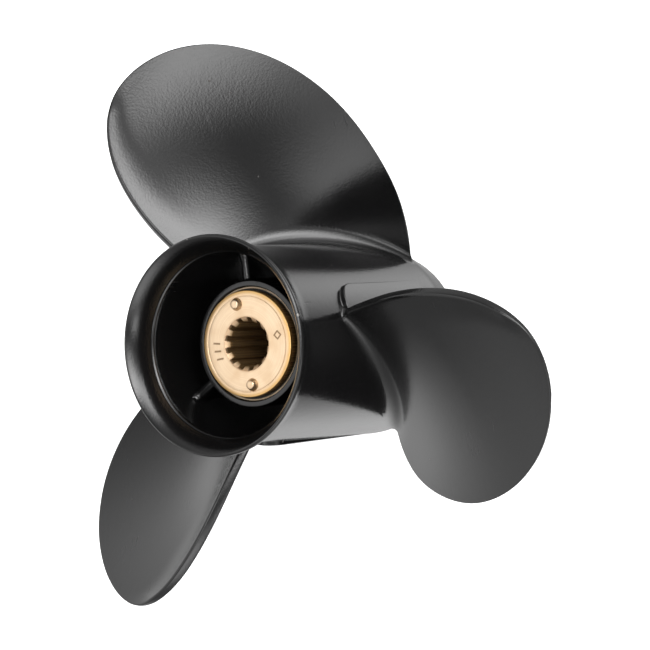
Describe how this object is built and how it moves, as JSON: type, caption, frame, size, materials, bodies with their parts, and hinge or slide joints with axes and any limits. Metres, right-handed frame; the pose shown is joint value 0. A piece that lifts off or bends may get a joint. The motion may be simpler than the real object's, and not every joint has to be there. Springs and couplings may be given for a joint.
{
  "type": "outboard boat propeller",
  "caption": "Right-hand marine propeller in black painted cast aluminium, with a flared through-hub exhaust barrel, raked blades and a splined brass hub in a rubber bush.",
  "frame": {"origin": "on the shaft's axis, in the plane of the barrel's forward end, on which the propeller stands", "axes": "+Z along the shaft's axis towards the flared after end, which is up when it stands; +X through the middle of blade 1; ahead rotation is clockwise as seen from +Z"},
  "size_m": [0.2352, 0.2345, 0.1335],
  "materials": {
    "black_paint": "satin black paint on cast aluminium",
    "brass": "machined brass",
    "rubber": "matte black rubber"
  },
  "bodies": {
    "root": {"exhaust_barrel": "black_paint", "diffuser_ring": "black_paint", "hub_tube": "black_paint", "rib_1": "black_paint", "rib_2": "black_paint", "rib_3": "black_paint", "blade_1": "black_paint", "blade_2": "black_paint", "blade_3": "black_paint", "root_land_1": "black_paint", "root_land_2": "black_paint", "root_land_3": "black_paint", "rubber_bush": "rubber", "spline_sleeve": "brass"}
  },
  "joints": []
}
